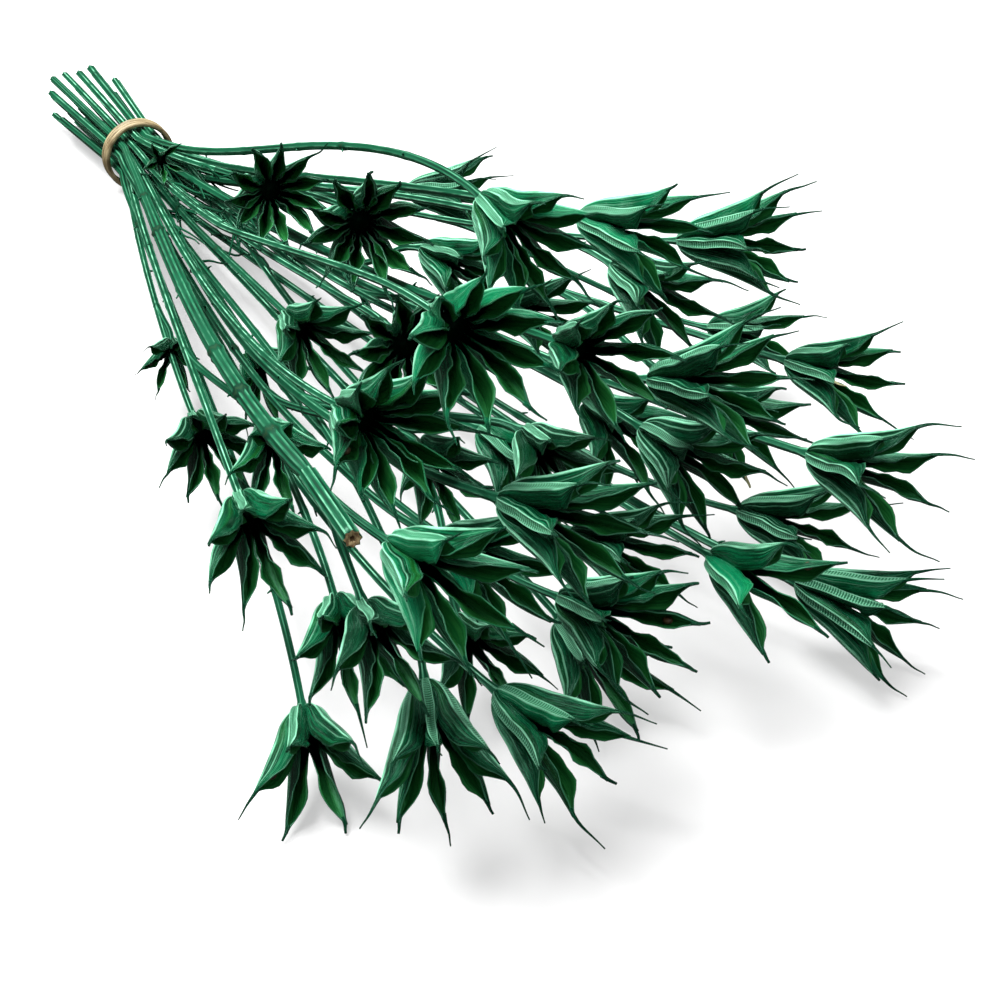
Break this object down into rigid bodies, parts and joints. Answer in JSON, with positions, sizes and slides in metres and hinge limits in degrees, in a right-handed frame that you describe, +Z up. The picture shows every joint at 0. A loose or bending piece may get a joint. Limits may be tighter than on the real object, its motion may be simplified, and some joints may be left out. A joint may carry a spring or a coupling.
{
  "type": "tied bunch of dried nigella seed heads",
  "caption": "Dried, dyed nigella seed heads in a tied bunch that lies down: star-shaped pods with long thin beaks, on thin stems that fan out from a rubber band.",
  "frame": {"origin": "on the table, under the middle of the bunch's box", "axes": "+Y from the seed heads through the rubber band to the cut ends of the stems, along the bunch; +Z up from the table that the bunch lies on; +X across it"},
  "size_m": [0.1944, 0.4038, 0.1118],
  "materials": {
    "dyed_pod": "satin",
    "rubber_band": "matte"
  },
  "bodies": {
    "root": {"stem_01": "dyed_pod", "stem_02": "dyed_pod", "stem_03": "dyed_pod", "stem_04": "dyed_pod", "stem_05": "dyed_pod", "stem_06": "dyed_pod", "stem_07": "dyed_pod", "stem_08": "dyed_pod", "stem_09": "dyed_pod", "stem_10": "dyed_pod", "stem_11": "dyed_pod", "stem_12": "dyed_pod", "stem_13": "dyed_pod", "stem_14": "dyed_pod", "stem_15": "dyed_pod", "stem_16": "dyed_pod", "stem_17": "dyed_pod", "stem_18": "dyed_pod", "stem_19": "dyed_pod", "stem_20": "dyed_pod", "stem_21": "dyed_pod", "stem_22": "dyed_pod", "stem_23": "dyed_pod", "stem_24": "dyed_pod", "stem_25": "dyed_pod", "stem_26": "dyed_pod", "stem_27": "dyed_pod", "stem_28": "dyed_pod", "stem_29": "dyed_pod", "stem_30": "dyed_pod", "stem_31": "dyed_pod", "tie_band": "rubber_band"}
  },
  "joints": []
}
